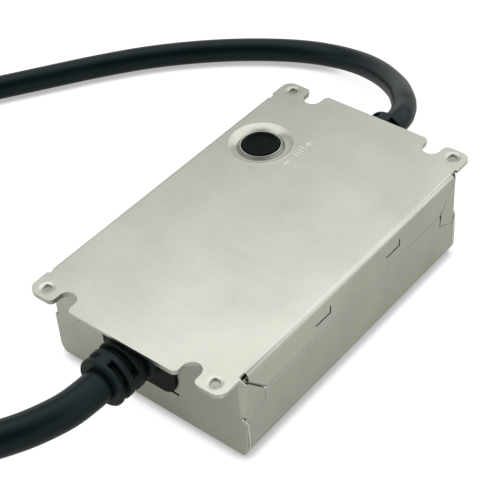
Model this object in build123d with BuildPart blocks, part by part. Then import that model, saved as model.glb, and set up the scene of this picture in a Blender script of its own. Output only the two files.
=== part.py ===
from build123d import *
from math import cos, radians, sin, tan
import os

# Led driver in a folded sheet-metal case with a cord at each end.
# X runs across the case, Y along it with the output end at +Y, Z up from its underside.

# Case
case_width = 63.0
case_length = 92.8
case_height = 29.2
tray_sheet = 0.8
cover_sheet = 0.8
seat_gap = 0.1

# Cover
ear_reach = 7.5
ear_inset = 0.2
ear_corner = 3.0
cover_bend = 1.5
skirt_proud = 0.3
skirt_depth = 9.8
skirt_setback = 2.1
skirt_run = 6.4
skirt_rise = 7.0
relief_width = 2.1
relief_depth = 0.7
slit_width = 0.5
slit_length = 6.2
slit_rise = 2.5
slit_height = 4.0
slit_near = -15.0
slit_far = 15.3

# Screw notches and clinched joints in the ears
notch_spacing = 40.4
notch_width = 5.3
notch_depth = 5.6
notch_lip = 1.6
clinch_x = 54.3
clinch_y = 101.5
clinch_radius = 1.25
clinch_lip = 0.5
clinch_sink = 0.6
button_radius = 2.0
button_height = 0.7

# Seat of the plug over the adjuster
adjust_from_side = 11.7
adjust_from_end = 20.3
dish_radius = 9.6
dish_depth = 1.1
ditch_width = 0.35
collar_radius = 6.05
collar_wall = 0.5
collar_rise = 0.75
plug_fit = 0.1
plug_proud = 0.2
plug_rim = 1.2
plug_sink = 0.4

# Tray
tray_long_bend = 4.0
tray_end_bend = 1.5
flange_bend = 1.5
joggle_height = 0.8
joggle_drop = 0.1
flange_setback = 0.15
corner_gap = 0.35
corner_bend = 1.5
seam_height = 14.6
wing_length = 8.0
wing_tip = 15.0
wing_root = 11.9
wing_gap = 0.05
wing_drop = 0.7
wing_slack_near = 0.1
wing_slack_far = 0.6
cutout_left = -13.8
cutout_right = 10.4
cutout_sill = 9.5

# Strain reliefs
gland_x = -0.8
gland_z = 20.0
block_side_fit = 0.2
block_corner = 4.6
block_proud = 0.8
block_inside = 3.6
block_lip = 1.9
boot_length = 14.8
boot_taper = 0.35
boot_wall = 2.4
slot_floor = 0.6
slot_width = 1.9
slot_pitch = 3.6
slot_rows = 3
slot_setback = 1.35
slot_web = 3.5
spigot_length = 3.0

# Cords and their stripped ends
input_cord_diameter = 9.0
output_cord_diameter = 7.6
core_diameter = 2.6
core_length = 18.0
strand_diameter = 1.5
strand_length = 7.0
core_ring = 1.6
core_splay = 5.0
lead_diameter = 1.9
lead_spacing = 2.8
lead_reach = 4.5
lead_bend = 2.5

# Board, liner and pad
liner_sheet = 0.4
liner_gap = 0.2
liner_end_gap = 0.4
lid_gap = 2.2
board_bottom = 5.0
board_sheet = 1.6
board_margin = 0.8
board_end_margin = 4.2
pad_margin = 8.0

# Transformer
transformer_x = 4.0
transformer_y = 2.0
transformer_axis = 9.6
core_width = 25.4
core_depth = 12.7
core_thick = 7.6
core_leg = 6.8
core_side = 3.2
bobbin_wall = 0.8
bobbin_fit = 0.2
bobbin_foot = 3.0
winding_thick = 4.6

# Line choke
choke_from_side = 12.2
choke_from_end = 16.0
choke_outer = 7.5
choke_inner = 4.6
choke_height = 6.0
choke_wire = 1.6
choke_arc = 150.0

# Capacitors
bulk_from_side = 9.6
bulk_y = 1.5
bulk_diameter = 16.0
bulk_length = 26.0
output_cap_diameter = 10.0
output_cap_height = 16.0
output_cap_x = 3.0
output_cap_from_end = 14.0
output_cap_spacing = 12.0
film_width = 13.0
film_depth = 6.0
film_height = 12.0
film_x = 0.8
film_from_end = 21.0
disc_diameter = 8.0
disc_thick = 3.0
disc_x = 1.5
disc_from_end = 13.0

# Rectifier, switching parts and their heat bar
bridge_width = 14.6
bridge_depth = 3.5
bridge_height = 11.0
bridge_from_side = 12.7
bridge_from_end = 23.5
bar_thick = 2.5
bar_length = 42.0
bar_wall_gap = 1.7
bar_y = 12.0
package_width = 10.2
package_height = 15.0
package_thick = 4.5
tab_thick = 1.3
tab_share = 6.4
transistor_y = 0.0
diode_y = 22.0
clip_sheet = 0.6
clip_width = 6.0
clip_drop = 8.0

# Small parts on the board
fuse_diameter = 3.6
fuse_length = 10.0
fuse_from_side = 12.7
fuse_from_end = 15.0
varistor_diameter = 10.0
varistor_thick = 4.0
varistor_from_side = 6.2
varistor_from_end = 9.0
chip_width = 4.0
chip_length = 5.0
chip_height = 1.5
chip_x = -6.0
chip_from_end = 14.0
trimmer_width = 7.0
trimmer_height = 11.0
rotor_diameter = 3.4
rotor_height = 2.0
rotor_slot = 0.7
rotor_gap = 0.3

os.makedirs("parts", exist_ok=True)

cover_under = case_height - cover_sheet
skirt_edge = case_height - skirt_depth
outer_x = case_width / 2
fold_x = outer_x + skirt_proud
inset_x = fold_x - cover_sheet - seat_gap
ear_x = outer_x - ear_inset
end_y = case_length / 2
ear_y = end_y + ear_reach
skirt_y = end_y - skirt_setback
notch_y = ear_y - notch_depth + notch_width / 2
notch_radius = notch_width / 2
adjust_x = adjust_from_side - outer_x
adjust_y = end_y - adjust_from_end
liner_x = inset_x - tray_sheet - liner_gap
liner_y = end_y - tray_sheet - liner_end_gap
liner_top = cover_under - lid_gap
board_x = liner_x - liner_sheet - board_margin
board_y = liner_y - liner_sheet - board_end_margin
board_top = board_bottom + board_sheet


def block_outline(at_y, fit):
    """Outline of a strain relief's block, round at its lower corners, grown by a fit."""
    with BuildSketch(Plane.XZ.offset(-at_y)) as outline:
        with Locations((cutout_left + block_side_fit - fit, cutout_sill - fit)):
            Rectangle(
                cutout_right - cutout_left - 2 * block_side_fit + 2 * fit,
                cover_under - seat_gap - cutout_sill + fit,
                align=(Align.MIN, Align.MIN),
            )
        fillet(outline.vertices().group_by(Axis.Z)[0], block_corner + fit)
    return outline.sketch


def ear_outline():
    """Outline of the cover with its rounded ears and the four open screw notches."""
    with BuildSketch() as outline:
        RectangleRounded(2 * ear_x, 2 * ear_y, ear_corner)
        with GridLocations(notch_spacing, 2 * notch_y, 2, 2):
            Circle(notch_radius, mode=Mode.SUBTRACT)
        with GridLocations(notch_spacing, 2 * (notch_y + notch_depth), 2, 2):
            Rectangle(notch_width, 2 * notch_depth, mode=Mode.SUBTRACT)
        lips = [
            corner
            for corner in outline.vertices()
            if abs(abs(corner.Y) - ear_y) < 0.01
            and abs(abs(corner.X) - notch_spacing / 2) < notch_width
        ]
        fillet(lips, notch_lip)
    return outline.sketch


def side_slope(near_y, far_y, low, high):
    """Corners of the sloping cut at the end of a skirt, for one end of the case."""
    return [(near_y, low), (far_y, high), (far_y + skirt_run, high), (far_y + skirt_run, low)]


# Cover: one sheet, folded down along both sides, with ears past the case ends.
with BuildPart() as cover:
    with BuildSketch(Plane.XZ):
        with BuildLine():
            FilletPolyline(
                (-fold_x, skirt_edge),
                (-fold_x, case_height),
                (fold_x, case_height),
                (fold_x, skirt_edge),
                radius=cover_bend,
            )
            offset(amount=cover_sheet, side=Side.RIGHT)
        make_face()
    extrude(amount=skirt_y, both=True)
    with BuildSketch(Plane.XY.offset(cover_under)):
        add(ear_outline())
        with Locations((-fold_x, 0), (fold_x, 0)):
            Rectangle(2 * cover_bend, 2 * skirt_y, mode=Mode.SUBTRACT)
        with Locations((-ear_x, 0), (ear_x, 0)):
            Rectangle(2 * relief_depth, 2 * (skirt_y + relief_width), mode=Mode.SUBTRACT)
    extrude(amount=cover_sheet)
    for end in (-1, 1):
        with BuildSketch(Plane.YZ):
            slope = side_slope(skirt_y - skirt_run, skirt_y, skirt_edge, skirt_edge + skirt_rise)
            with BuildLine():
                Polyline([(end * along, up) for along, up in slope], close=True)
            make_face()
        extrude(amount=case_width, both=True, mode=Mode.SUBTRACT)
    for slit_y in (slit_near, slit_far):
        with BuildSketch(Plane.YZ):
            with Locations((slit_y, skirt_edge + slit_height)):
                Rectangle(slit_length, slit_width)
            with Locations((slit_y + slit_length / 2, skirt_edge + slit_height - slit_width / 2)):
                Rectangle(slit_width, slit_rise, align=(Align.MAX, Align.MIN))
        extrude(amount=case_width, both=True, mode=Mode.SUBTRACT)
    with Locations((adjust_x, adjust_y, case_height)):
        Cylinder(dish_radius, 4 * cover_sheet, mode=Mode.SUBTRACT)
    with BuildSketch(Plane(origin=(adjust_x, adjust_y, case_height), x_dir=(1, 0, 0), z_dir=(0, -1, 0))):
        with BuildLine():
            for depth in (0, cover_sheet):
                TangentArc(
                    (dish_radius, -depth),
                    (collar_radius + ditch_width, -dish_depth - depth),
                    tangent=(-1, 0),
                )
            FilletPolyline(
                (collar_radius + ditch_width, -dish_depth),
                (collar_radius, -dish_depth),
                (collar_radius, collar_rise - dish_depth),
                (collar_radius - collar_wall, collar_rise - dish_depth),
                (collar_radius - collar_wall, -dish_depth - cover_sheet),
                (collar_radius + ditch_width, -dish_depth - cover_sheet),
                radius=[0.25, 0.2, 0.2, 0.2],
            )
            Line((dish_radius, 0), (dish_radius, -cover_sheet))
        make_face()
    revolve(axis=Axis((adjust_x, adjust_y, 0), (0, 0, 1)))
    with BuildSketch(Plane.XY.offset(case_height)):
        with GridLocations(clinch_x, clinch_y, 2, 2):
            Circle(clinch_radius)
    extrude(amount=-clinch_sink, mode=Mode.SUBTRACT, taper=15)
    clinch_rims = [
        rim
        for rim in cover.edges().filter_by(GeomType.CIRCLE)
        if abs(rim.radius - clinch_radius) < 0.001 and rim.center().Z > case_height - clinch_lip
    ]
    fillet(clinch_rims, clinch_lip)
cover.part.label = "cover"
export_step(cover.part, "parts/cover.step")

# Tray: floor, long walls set back behind the skirts, and end walls with flanges and wings.
with BuildPart() as tray:
    with BuildSketch(Plane.XZ):
        with BuildLine():
            FilletPolyline(
                (inset_x, case_height - cover_bend - joggle_drop),
                (inset_x, skirt_edge - joggle_drop),
                (outer_x, skirt_edge - joggle_drop - joggle_height),
                (outer_x, 0),
                (-outer_x, 0),
                (-outer_x, skirt_edge - joggle_drop - joggle_height),
                (-inset_x, skirt_edge - joggle_drop),
                (-inset_x, case_height - cover_bend - joggle_drop),
                radius=[0.3, 0.9, tray_long_bend, tray_long_bend, 0.9, 0.3],
            )
            offset(amount=tray_sheet, side=Side.RIGHT)
        make_face()
    extrude(amount=end_y - tray_sheet - corner_gap, both=True)
    for end in (-1, 1):
        with BuildSketch(Plane.YZ):
            with BuildLine():
                Polyline(
                    (end * end_y, wing_root - wing_gap),
                    (end * (end_y - corner_bend / 2 - wing_gap), wing_root - wing_gap),
                    (end * (end_y - wing_length - wing_gap), wing_tip - wing_gap),
                    (end * (end_y - wing_length - wing_gap), skirt_edge - joggle_drop),
                    (end * end_y, skirt_edge - joggle_drop),
                    close=True,
                )
            make_face()
        extrude(amount=case_width, both=True, mode=Mode.SUBTRACT)
    for slit_y in (slit_near, slit_far):
        with Locations((0, slit_y, skirt_edge + slit_height + slit_rise / 2)):
            Box(case_width, slit_length, slit_rise, mode=Mode.SUBTRACT)
tray_channel = tray.part

with BuildPart() as tray_ends:
    with BuildSketch(Plane.YZ):
        with BuildLine():
            FilletPolyline(
                (0, tray_sheet),
                (tray_sheet - end_y, tray_sheet),
                (tray_sheet - end_y, cover_under),
                (-ear_y, cover_under),
                radius=[tray_end_bend - tray_sheet, flange_bend],
            )
            offset(amount=tray_sheet, side=Side.LEFT)
        make_face()
        mirror(about=Plane.YZ)
    extrude(amount=outer_x, both=True)
    with BuildSketch(Plane.XZ) as end_outline:
        with Locations((0, case_height / 2)):
            Rectangle(case_width, case_height)
        fillet(end_outline.vertices().group_by(Axis.Z)[0], tray_long_bend)
    extrude(amount=ear_y, both=True, mode=Mode.INTERSECT)
    with BuildSketch():
        add(ear_outline())
        offset(amount=-flange_setback)
        Rectangle(case_width, case_length)
    extrude(amount=case_height, mode=Mode.INTERSECT)
    for end in (-1, 1):
        for side in (-1, 1):
            with Locations((side * (outer_x - corner_bend), end * (end_y - tray_sheet - seat_gap), seam_height)):
                Box(
                    corner_bend,
                    tray_sheet + flange_bend,
                    case_height,
                    align=(
                        Align.MIN if side > 0 else Align.MAX,
                        Align.MIN if end > 0 else Align.MAX,
                        Align.MIN,
                    ),
                    mode=Mode.SUBTRACT,
                )
        with Locations((cutout_left, end * (end_y - tray_sheet - seat_gap), cutout_sill)):
            Box(
                cutout_right - cutout_left,
                ear_y,
                case_height,
                align=(Align.MIN, Align.MIN if end > 0 else Align.MAX, Align.MIN),
                mode=Mode.SUBTRACT,
            )
    with BuildSketch(Plane.XY.offset(cover_under - tray_sheet)):
        with GridLocations(clinch_x, clinch_y, 2, 2):
            Circle(button_radius)
    extrude(amount=-button_height, taper=15)
    with BuildSketch(Plane.XY.offset(cover_under)):
        with GridLocations(clinch_x, clinch_y, 2, 2):
            Circle(clinch_radius)
    extrude(amount=-clinch_sink, mode=Mode.SUBTRACT, taper=15)

with BuildPart() as tray_wings:
    for end in (-1, 1):
        for side in (-1, 1):
            with BuildSketch(Plane.XY):
                with BuildLine():
                    FilletPolyline(
                        (side * (outer_x - corner_bend), end * end_y),
                        (side * outer_x, end * end_y),
                        (side * outer_x, end * (end_y - wing_length)),
                        radius=corner_bend - 0.01,
                    )
                    offset(amount=tray_sheet, side=Side.RIGHT if side * end > 0 else Side.LEFT)
                make_face()
            extrude(amount=case_height)
    for end, slack in ((-1, wing_slack_near), (1, wing_slack_far)):
        with BuildSketch(Plane.YZ):
            with BuildLine():
                Polyline(
                    (end * end_y, seam_height),
                    (end * (end_y - corner_bend / 2), seam_height),
                    (end * (end_y - corner_bend / 2), wing_root),
                    (end * (end_y - wing_length + slack / 3), wing_tip),
                    (end * (end_y - wing_length + slack), skirt_edge - seat_gap),
                    (end * skirt_y, skirt_edge + skirt_rise - wing_drop),
                    (end * end_y, skirt_edge + skirt_rise - wing_drop),
                    close=True,
                )
            make_face()
    wing_shape = extrude(amount=case_width, both=True, mode=Mode.PRIVATE)
    add(wing_shape, mode=Mode.INTERSECT)

with BuildPart() as tray:
    add(tray_channel)
    add(tray_ends.part)
    add(tray_wings.part)
tray.part.label = "tray"
export_step(tray.part, "parts/tray.step")

# Rubber plug that closes the hole over the adjuster.
plug_radius = collar_radius - collar_wall - plug_fit
plug_top = collar_rise - dish_depth + plug_proud
plug_seat = -dish_depth - cover_sheet - plug_fit
with BuildPart() as adjust_plug:
    with BuildSketch(Plane(origin=(adjust_x, adjust_y, case_height), x_dir=(1, 0, 0), z_dir=(0, -1, 0))):
        with BuildLine():
            Polyline(
                (0, plug_top - plug_sink),
                (plug_radius - plug_rim - plug_sink / 2, plug_top - plug_sink),
                (plug_radius - plug_rim, plug_top - 0.1),
                (plug_radius - plug_rim + 0.2, plug_top),
                (plug_radius - 0.4, plug_top - 0.05),
                (plug_radius - 0.1, plug_top - 0.2),
                (plug_radius, plug_top - 0.5),
                (plug_radius, plug_seat),
                (plug_radius + 0.8, plug_seat),
                (plug_radius - 0.4, plug_seat - 1.6),
                (0, plug_seat - 1.6),
                close=True,
            )
        make_face()
    revolve(axis=Axis((adjust_x, adjust_y, 0), (0, 0, 1)))
adjust_plug.part.label = "adjust_plug"
export_step(adjust_plug.part, "parts/adjust_plug.step")


def gland(end, cord_diameter):
    """Moulded block in the end wall with a slotted bending boot, on the near (-1) or far (1) end."""
    face_y = end_y + block_proud
    tip_y = end_y + boot_length
    tip_radius = cord_diameter / 2 + boot_wall
    with BuildPart() as body:
        extrude(
            block_outline(end * (end_y - block_inside - tray_sheet), 0),
            amount=-end * (block_proud + block_inside + tray_sheet),
        )
        with Locations(
            (
                (cutout_left + cutout_right) / 2,
                end * (end_y - block_inside - tray_sheet),
                cutout_sill - block_lip,
            )
        ):
            Box(
                cutout_right - cutout_left - 2 * block_corner - 2 * block_side_fit,
                block_inside - liner_end_gap - liner_sheet - liner_gap,
                2 * block_lip,
                align=(Align.CENTER, Align.MIN if end > 0 else Align.MAX, Align.MIN),
            )
        with BuildSketch(Plane(origin=(gland_x, 0, gland_z), x_dir=(0, end, 0), z_dir=(-end, 0, 0))):
            with BuildLine():
                Polyline(
                    (end_y - block_inside - tray_sheet - spigot_length, 0),
                    (end_y - block_inside - tray_sheet - spigot_length, tip_radius - boot_wall / 2),
                    (face_y - 1, tip_radius - boot_wall / 2),
                    (face_y - 1, tip_radius + boot_taper),
                    (tip_y - 0.4, tip_radius),
                    (tip_y, tip_radius - 0.4),
                    (tip_y, 0),
                    close=True,
                )
            make_face()
        revolve(axis=Axis((gland_x, 0, gland_z), (0, 1, 0)))
        for row in range(slot_rows):
            slot_y = tip_y - slot_setback - row * slot_pitch
            with BuildSketch(Plane.XZ.offset(-end * slot_y)):
                with Locations((gland_x, gland_z)):
                    Circle(tip_radius + 2 * boot_taper)
                    Circle(cord_diameter / 2 + slot_floor, mode=Mode.SUBTRACT)
                    Rectangle(
                        slot_web if row % 2 == 0 else 3 * tip_radius,
                        3 * tip_radius if row % 2 == 0 else slot_web,
                        mode=Mode.SUBTRACT,
                    )
            extrude(amount=end * slot_width, mode=Mode.SUBTRACT)
    return body.part


input_gland = gland(-1, input_cord_diameter)
input_gland.label = "input_gland"
export_step(input_gland, "parts/input_gland.step")

output_gland = gland(1, output_cord_diameter)
output_gland.label = "output_gland"
export_step(output_gland, "parts/output_gland.step")

# Cord routes: each leaves its boot level, comes down to the table and lies there.
boot_tip = end_y + boot_length
input_route = [
    (gland_x, -boot_tip, gland_z),
    (-0.8, -68.0, 20.0),
    (-2.0, -74.7, 20.0),
    (-6.3, -85.3, 20.0),
    (-18.4, -101.8, 19.3),
    (-33.1, -113.7, 11.0),
    (-57.0, -126.0, 5.3),
    (-88.0, -133.0, 4.6),
    (-118.0, -128.0, 4.6),
    (-140.0, -109.0, 4.6),
    (-146.0, -81.0, 4.6),
    (-134.0, -55.0, 4.6),
    (-110.0, -42.0, 4.6),
]
output_route = [
    (gland_x, boot_tip, gland_z),
    (-0.8, 67.0, 20.0),
    (-2.4, 72.5, 19.5),
    (-6.4, 79.0, 17.9),
    (-16.0, 87.5, 13.3),
    (-30.6, 98.2, 8.6),
    (-45.9, 102.2, 4.8),
    (-61.7, 98.4, 3.9),
    (-79.7, 86.4, 3.9),
    (-97.2, 70.7, 3.9),
    (-110.2, 54.6, 3.9),
    (-125.3, 32.2, 3.9),
    (-140.0, 10.6, 3.9),
    (-151.0, -11.0, 3.9),
    (-158.0, -34.0, 3.9),
    (-161.0, -57.0, 3.9),
]


def bend_radii(route):
    """The largest arc that each corner's two runs allow."""
    points = [Vector(*point) for point in route]
    radii = []
    for before, corner, after in zip(points, points[1:], points[2:]):
        half_turn = radians((corner - before).get_angle(after - corner)) / 2
        radii.append(0.45 * min((corner - before).length, (after - corner).length) / tan(half_turn))
    return radii


def cord(route, diameter):
    """Round cord along a route of straight runs joined by arcs."""
    radii = bend_radii(route)
    with BuildPart() as tube:
        with BuildLine() as path:
            FilletPolyline(*route, radius=radii)
        with BuildSketch(Plane(origin=path.line @ 0, z_dir=path.line % 0)) as section:
            Circle(diameter / 2)
        sweep()
    length = path.wires()[0].length
    print("bend radii", [round(radius, 1) for radius in radii])
    print("cord length", round(length, 1))
    print("volume against length", round(tube.part.volume / (length * section.sketch.area), 5))
    return tube.part


input_cord = cord(input_route, input_cord_diameter)
input_cord.label = "input_cord"
export_step(input_cord, "parts/input_cord.step")

output_cord = cord(output_route, output_cord_diameter)
output_cord.label = "output_cord"
export_step(output_cord, "parts/output_cord.step")


def stripped_core(route, turn):
    """One insulated core with its tinned strands, fanned a little from the cut end of a cord."""
    ahead = Vector(*route[-1]) - Vector(*route[-2])
    cut_end = Plane(origin=route[-1], x_dir=(0, 0, 1), z_dir=ahead)
    start = cut_end.from_local_coords((core_ring * cos(radians(turn)), core_ring * sin(radians(turn)), 0))
    lean = cut_end.from_local_coords((cos(radians(turn)), sin(radians(turn)), 0)) - cut_end.origin
    heading = cut_end.z_dir * cos(radians(core_splay)) + lean * sin(radians(core_splay))
    with BuildPart() as core:
        with BuildSketch(Plane(origin=start, z_dir=cut_end.z_dir)) as root:
            Circle(core_diameter / 2)
        loft_end = Plane(origin=start + heading * core_length, z_dir=heading)
        with BuildSketch(loft_end) as tip:
            Circle(core_diameter / 2)
        loft()
        with BuildSketch(loft_end):
            Circle(strand_diameter / 2)
        extrude(amount=strand_length)
    return core.part


input_core_line = stripped_core(input_route, 90)
input_core_line.label = "input_core_line"
export_step(input_core_line, "parts/input_core_line.step")

input_core_neutral = stripped_core(input_route, 90 - 360 / 3)
input_core_neutral.label = "input_core_neutral"
export_step(input_core_neutral, "parts/input_core_neutral.step")

input_core_earth = stripped_core(input_route, 90 + 360 / 3)
input_core_earth.label = "input_core_earth"
export_step(input_core_earth, "parts/input_core_earth.step")

output_core_plus = stripped_core(output_route, 90)
output_core_plus.label = "output_core_plus"
export_step(output_core_plus, "parts/output_core_plus.step")

output_core_minus = stripped_core(output_route, -90)
output_core_minus.label = "output_core_minus"
export_step(output_core_minus, "parts/output_core_minus.step")


def inner_lead(end, offset_x):
    """Insulated wire from a strain relief down to the board."""
    start_y = end * (end_y - block_inside - tray_sheet - spigot_length)
    with BuildPart() as lead:
        with BuildLine() as path:
            FilletPolyline(
                (gland_x + offset_x, start_y, gland_z),
                (gland_x + offset_x, start_y - end * lead_reach, gland_z),
                (gland_x + offset_x, start_y - end * lead_reach, board_top),
                radius=lead_bend,
            )
        with BuildSketch(Plane(origin=path.line @ 0, z_dir=path.line % 0)):
            Circle(lead_diameter / 2)
        sweep()
    return lead.part


input_lead_line = inner_lead(-1, -lead_spacing)
input_lead_line.label = "input_lead_line"
export_step(input_lead_line, "parts/input_lead_line.step")

input_lead_neutral = inner_lead(-1, lead_spacing)
input_lead_neutral.label = "input_lead_neutral"
export_step(input_lead_neutral, "parts/input_lead_neutral.step")

input_lead_earth = inner_lead(-1, 0)
input_lead_earth.label = "input_lead_earth"
export_step(input_lead_earth, "parts/input_lead_earth.step")

output_lead_plus = inner_lead(1, -lead_spacing / 2)
output_lead_plus.label = "output_lead_plus"
export_step(output_lead_plus, "parts/output_lead_plus.step")

output_lead_minus = inner_lead(1, lead_spacing / 2)
output_lead_minus.label = "output_lead_minus"
export_step(output_lead_minus, "parts/output_lead_minus.step")

# Liner: a folded plastic sheet between the board and the steel, open on top.
with BuildPart() as insulation_liner:
    with BuildSketch(Plane.XY.offset(tray_sheet + liner_gap)):
        Rectangle(2 * liner_x, 2 * liner_y)
    extrude(amount=liner_top - tray_sheet - liner_gap)
    chamfer(
        insulation_liner.faces().sort_by(Axis.Z)[0].edges().filter_by(Axis.Y),
        tray_long_bend - tray_sheet,
    )
    offset(
        amount=-liner_sheet,
        openings=insulation_liner.faces().sort_by(Axis.Z)[-1],
        mode=Mode.REPLACE,
    )
    for end in (-1, 1):
        extrude(
            block_outline(end * liner_y, liner_gap),
            amount=2 * liner_sheet,
            both=True,
            mode=Mode.SUBTRACT,
        )
insulation_liner.part.label = "insulation_liner"
export_step(insulation_liner.part, "parts/insulation_liner.step")

# Board and the soft pad that carries it and takes its heat to the floor.
with BuildPart() as circuit_board:
    with BuildSketch(Plane.XY.offset(board_bottom)):
        RectangleRounded(2 * board_x, 2 * board_y, 1.0)
    extrude(amount=board_sheet)
circuit_board.part.label = "circuit_board"
export_step(circuit_board.part, "parts/circuit_board.step")

pad_bottom = tray_sheet + liner_gap + liner_sheet
with BuildPart() as thermal_pad:
    with BuildSketch(Plane.XY.offset(pad_bottom)):
        Rectangle(2 * (board_x - pad_margin), 2 * (board_y - pad_margin))
    extrude(amount=board_bottom - pad_bottom)
thermal_pad.part.label = "thermal_pad"
export_step(thermal_pad.part, "parts/thermal_pad.step")

# Transformer: two E cores pushed into a bobbin that lies along Y.
transformer_z = board_top + transformer_axis
tube_x = core_leg / 2 + bobbin_fit
tube_z = core_thick / 2 + bobbin_fit
window_x = core_width / 2 - core_side
flange_y = core_depth - core_side - bobbin_fit


def transformer_core(end):
    """E-shaped ferrite half whose legs meet the other half at the middle."""
    with BuildPart() as half:
        with BuildSketch(Plane.XY.offset(transformer_z - core_thick / 2)):
            with Locations((transformer_x, transformer_y + end * core_depth / 2)):
                Rectangle(core_width, core_depth)
            for side in (-1, 1):
                middle = (core_leg / 2 + window_x) / 2
                with Locations((transformer_x + side * middle, transformer_y)):
                    Rectangle(window_x - core_leg / 2, 2 * (core_depth - core_side), mode=Mode.SUBTRACT)
        extrude(amount=core_thick)
    return half.part


transformer_core_near = transformer_core(-1)
transformer_core_near.label = "transformer_core_near"
export_step(transformer_core_near, "parts/transformer_core_near.step")

transformer_core_far = transformer_core(1)
transformer_core_far.label = "transformer_core_far"
export_step(transformer_core_far, "parts/transformer_core_far.step")

bobbin_x = window_x - bobbin_fit
bobbin_z = transformer_axis - bobbin_foot / 2
transformer_plane = Plane.XZ.offset(-transformer_y - flange_y)
with BuildPart() as transformer_bobbin:
    with BuildSketch(transformer_plane):
        with Locations((transformer_x, transformer_z)):
            Rectangle(2 * (tube_x + bobbin_wall), 2 * (tube_z + bobbin_wall))
    extrude(amount=2 * flange_y)
    for end in (-1, 1):
        with Locations((transformer_x, transformer_y + end * flange_y, transformer_z)):
            Box(
                2 * bobbin_x,
                bobbin_wall,
                2 * bobbin_z,
                align=(Align.CENTER, Align.MAX if end > 0 else Align.MIN, Align.CENTER),
            )
        with Locations((transformer_x, transformer_y + end * flange_y, board_top)):
            Box(
                2 * bobbin_x,
                2 * bobbin_wall,
                bobbin_foot,
                align=(Align.CENTER, Align.MAX if end > 0 else Align.MIN, Align.MIN),
            )
    with BuildSketch(Plane.XZ.offset(-transformer_y - core_depth)):
        with Locations((transformer_x, transformer_z)):
            Rectangle(2 * tube_x, 2 * tube_z)
    extrude(amount=2 * core_depth, mode=Mode.SUBTRACT)
transformer_bobbin.part.label = "transformer_bobbin"
export_step(transformer_bobbin.part, "parts/transformer_bobbin.step")

with BuildPart() as transformer_winding:
    with BuildSketch(Plane.XZ.offset(-transformer_y - flange_y + 2 * bobbin_wall)):
        with Locations((transformer_x, transformer_z)):
            RectangleRounded(
                2 * (tube_x + bobbin_wall) + winding_thick,
                2 * (tube_z + bobbin_wall) + winding_thick,
                winding_thick / 2,
            )
            Rectangle(2 * (tube_x + bobbin_wall), 2 * (tube_z + bobbin_wall), mode=Mode.SUBTRACT)
    extrude(amount=2 * (flange_y - 2 * bobbin_wall))
transformer_winding.part.label = "transformer_winding"
export_step(transformer_winding.part, "parts/transformer_winding.step")

# Line choke: a ferrite ring that lies flat, with a winding on each half.
choke_x = choke_from_side - board_x
choke_y = choke_from_end - board_y
choke_z = board_top + choke_wire + choke_height / 2
choke_plane = Plane(origin=(choke_x, choke_y, choke_z), x_dir=(1, 0, 0), z_dir=(0, -1, 0))
choke_axis = Axis((choke_x, choke_y, 0), (0, 0, 1))
with BuildPart() as choke_core:
    with BuildSketch(choke_plane):
        with Locations(((choke_outer + choke_inner) / 2, 0)):
            Rectangle(choke_outer - choke_inner, choke_height)
    revolve(axis=choke_axis)
choke_core.part.label = "choke_core"
export_step(choke_core.part, "parts/choke_core.step")


def choke_winding(start):
    """Wire wrapped round one half of the ring."""
    first = choke_plane.rotated((0, start, 0))
    with BuildPart() as winding:
        with BuildSketch(first):
            with Locations(((choke_outer + choke_inner) / 2, 0)):
                Rectangle(choke_outer - choke_inner + 2 * choke_wire, choke_height + 2 * choke_wire)
                chamfer(vertices(), choke_wire / 2)
                Rectangle(choke_outer - choke_inner, choke_height, mode=Mode.SUBTRACT)
        revolve(axis=choke_axis, revolution_arc=choke_arc)
    return winding.part


choke_winding_1 = choke_winding(0)
choke_winding_1.label = "choke_winding_1"
export_step(choke_winding_1, "parts/choke_winding_1.step")

choke_winding_2 = choke_winding(180)
choke_winding_2.label = "choke_winding_2"
export_step(choke_winding_2, "parts/choke_winding_2.step")


def sleeved_can(radius, length):
    """Half section of a capacitor can with its rolled groove, from the rubber end up."""
    return [
        (0, 0),
        (radius - 0.5, 0),
        (radius, 0.5),
        (radius, 2.0),
        (radius - 0.5, 2.6),
        (radius, 3.2),
        (radius, length - 0.5),
        (radius - 0.5, length),
        (0, length),
    ]


# Bulk capacitor, lying along the case.
bulk_x = bulk_from_side - board_x
bulk_z = board_top + bulk_diameter / 2
with BuildPart() as bulk_capacitor:
    start = (bulk_x, bulk_y - bulk_length / 2, bulk_z)
    with BuildSketch(Plane(origin=start, x_dir=(1, 0, 0), z_dir=(0, 0, 1))):
        with BuildLine():
            Polyline(sleeved_can(bulk_diameter / 2, bulk_length), close=True)
        make_face()
    revolve(axis=Axis(start, (0, 1, 0)))
bulk_capacitor.part.label = "bulk_capacitor"
export_step(bulk_capacitor.part, "parts/bulk_capacitor.step")


def output_capacitor(number):
    """Standing capacitor of the output filter."""
    at = (output_cap_x + number * output_cap_spacing, board_y - output_cap_from_end, board_top)
    with BuildPart() as can:
        with BuildSketch(Plane(origin=at, x_dir=(1, 0, 0), z_dir=(0, -1, 0))):
            with BuildLine():
                Polyline(sleeved_can(output_cap_diameter / 2, output_cap_height), close=True)
            make_face()
        revolve(axis=Axis(at, (0, 0, 1)))
    return can.part


output_capacitor_1 = output_capacitor(0)
output_capacitor_1.label = "output_capacitor_1"
export_step(output_capacitor_1, "parts/output_capacitor_1.step")

output_capacitor_2 = output_capacitor(1)
output_capacitor_2.label = "output_capacitor_2"
export_step(output_capacitor_2, "parts/output_capacitor_2.step")

with BuildPart() as film_capacitor:
    with Locations((film_x, film_from_end - board_y, board_top)):
        Box(film_width, film_depth, film_height, align=(Align.CENTER, Align.CENTER, Align.MIN))
    fillet(film_capacitor.edges().filter_by(Axis.Z), 0.5)
film_capacitor.part.label = "film_capacitor"
export_step(film_capacitor.part, "parts/film_capacitor.step")

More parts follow.
